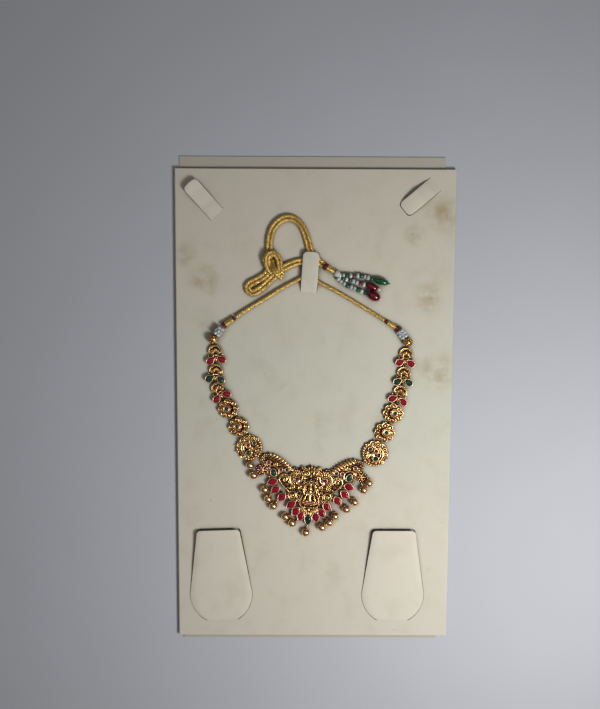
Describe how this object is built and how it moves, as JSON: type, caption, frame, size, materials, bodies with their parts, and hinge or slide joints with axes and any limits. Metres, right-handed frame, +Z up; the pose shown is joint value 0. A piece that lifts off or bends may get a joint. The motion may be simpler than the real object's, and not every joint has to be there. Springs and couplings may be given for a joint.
{
  "type": "temple necklace on display card",
  "caption": "Short antique gold temple necklace of cast links, coloured stones and ball drops, with a thread cord and tassel, lying on a folded display card.",
  "frame": {"origin": "centre of the display card's underside", "axes": "+Z up out of the card's front face, +Y towards the card's top edge, +X to the right as the card is read"},
  "size_m": [0.16, 0.2834, 0.0091],
  "materials": {
    "card": "matt cream coated board",
    "gold": "antique gold plating with dark recesses",
    "pink_gold": "satin antique gold plating",
    "ruby": "faceted ruby-red stone",
    "green_stone": "faceted dark green stone",
    "white_bead": "clear and white seed beads",
    "gold_thread": "metallic thread",
    "green_glass": "glossy green glass",
    "red_glass": "glossy dark red glass"
  },
  "bodies": {
    "root": {"card_back": "card", "card_front": "card", "centre_tab": "card", "corner_tab_left": "card", "corner_tab_right": "card", "earring_flap_left": "card", "earring_flap_right": "card", "pendant": "gold", "pendant_rubies": "ruby", "pendant_marquise": "green_stone", "side_plaque_left": "gold", "side_plaque_right": "gold", "peacock_roundel_left": "gold", "peacock_roundel_right": "gold", "flower_link_1_left": "gold", "flower_link_1_right": "gold", "flower_link_2_left": "gold", "flower_link_2_right": "gold", "bud_link_1_left": "gold", "bud_link_1_right": "gold", "bud_link_2_left": "gold", "bud_link_2_right": "gold", "bud_link_3_left": "gold", "bud_link_3_right": "gold", "gold_ball_left": "gold", "gold_ball_right": "gold", "rubies_left": "ruby", "rubies_right": "ruby", "greens_left": "green_stone", "greens_right": "green_stone", "white_beads_left": "white_bead", "white_beads_right": "white_bead", "cord_sleeve_left": "gold_thread", "cord_sleeve_right": "gold_thread", "cord_left": "gold_thread", "cord_right": "gold_thread", "tail_knot": "gold_thread", "tail_end": "gold_thread", "tassel_strands": "white_bead", "tassel_drop_green": "green_glass", "tassel_drop_red_oval": "red_glass", "tassel_drop_red_round": "red_glass", "ball_drop_01": "pink_gold", "ball_drop_02": "pink_gold", "ball_drop_03": "pink_gold", "ball_drop_04": "pink_gold", "ball_drop_05": "pink_gold", "ball_drop_06": "pink_gold", "ball_drop_07": "pink_gold", "ball_drop_08": "pink_gold", "ball_drop_09": "pink_gold", "ball_drop_10": "pink_gold", "ball_drop_11": "pink_gold", "ball_drop_12": "pink_gold", "ball_drop_13": "pink_gold", "ball_drop_14": "pink_gold", "ball_drop_15": "pink_gold"}
  },
  "joints": []
}
